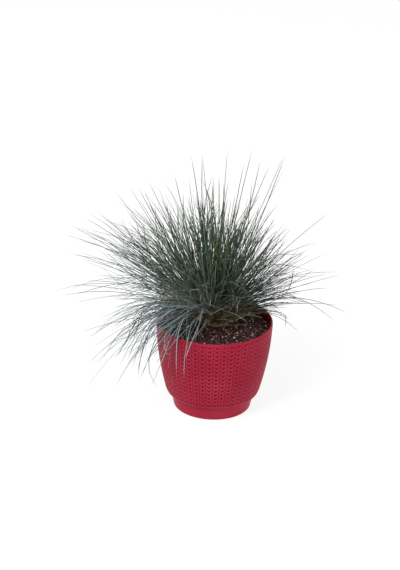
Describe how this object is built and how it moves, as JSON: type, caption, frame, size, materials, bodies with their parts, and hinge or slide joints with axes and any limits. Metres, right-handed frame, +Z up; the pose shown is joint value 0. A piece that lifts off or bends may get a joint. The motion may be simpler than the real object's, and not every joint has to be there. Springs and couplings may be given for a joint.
{
  "type": "potted blue fescue clump",
  "caption": "A clump of stiff, fine blue-grey grass blades growing in a small crimson plastic pot with a knitted relief, for a patio, sill or border edge.",
  "frame": {"origin": "centre of the pot's underside, on the surface it stands on", "axes": "+Z up along the pot's axis; -Y is the front, where the soil shows; +X is to the right"},
  "size_m": [0.3836, 0.3509, 0.3239],
  "materials": {
    "pot_plastic": "satin crimson, knitted relief above a smooth foot",
    "potting_soil": "dark peat with white perlite and bark, rough and matt; fabric stands in for soil",
    "old_leaf_bases": "dry brown and straw-coloured sheaths; fabric stands in for plant fibre",
    "heart_blades": "dark blue-green leaf; fabric stands in for leaf",
    "middle_blades": "blue-green leaf; fabric stands in for leaf",
    "outer_blades": "silvery blue-grey leaf with a waxy bloom; fabric stands in for leaf"
  },
  "bodies": {
    "root": {"pot": "pot_plastic", "potting_soil": "potting_soil", "crown": "old_leaf_bases", "leaf_tuft_01": "heart_blades", "leaf_tuft_02": "heart_blades", "leaf_tuft_03": "heart_blades", "leaf_tuft_04": "heart_blades", "leaf_tuft_05": "heart_blades", "leaf_tuft_06": "heart_blades", "leaf_tuft_07": "heart_blades", "leaf_tuft_08": "heart_blades", "leaf_tuft_09": "heart_blades", "leaf_tuft_10": "heart_blades", "leaf_tuft_11": "middle_blades", "leaf_tuft_12": "middle_blades", "leaf_tuft_13": "middle_blades", "leaf_tuft_14": "middle_blades", "leaf_tuft_15": "middle_blades", "leaf_tuft_16": "middle_blades", "leaf_tuft_17": "middle_blades", "leaf_tuft_18": "middle_blades", "leaf_tuft_19": "middle_blades", "leaf_tuft_20": "middle_blades", "leaf_tuft_21": "middle_blades", "leaf_tuft_22": "middle_blades", "leaf_tuft_23": "middle_blades", "leaf_tuft_24": "middle_blades", "leaf_tuft_25": "middle_blades", "leaf_tuft_26": "middle_blades", "leaf_tuft_27": "outer_blades", "leaf_tuft_28": "outer_blades", "leaf_tuft_29": "outer_blades", "leaf_tuft_30": "outer_blades", "leaf_tuft_31": "outer_blades", "leaf_tuft_32": "outer_blades", "leaf_tuft_33": "outer_blades", "leaf_tuft_34": "outer_blades", "leaf_tuft_35": "outer_blades", "leaf_tuft_36": "outer_blades", "leaf_tuft_37": "outer_blades", "leaf_tuft_38": "outer_blades", "leaf_tuft_39": "outer_blades", "leaf_tuft_40": "outer_blades", "leaf_tuft_41": "outer_blades", "leaf_tuft_42": "outer_blades", "leaf_tuft_43": "outer_blades", "leaf_tuft_44": "outer_blades", "leaf_tuft_45": "outer_blades", "leaf_tuft_46": "outer_blades", "leaf_tuft_47": "outer_blades", "leaf_tuft_48": "outer_blades"}
  },
  "joints": []
}
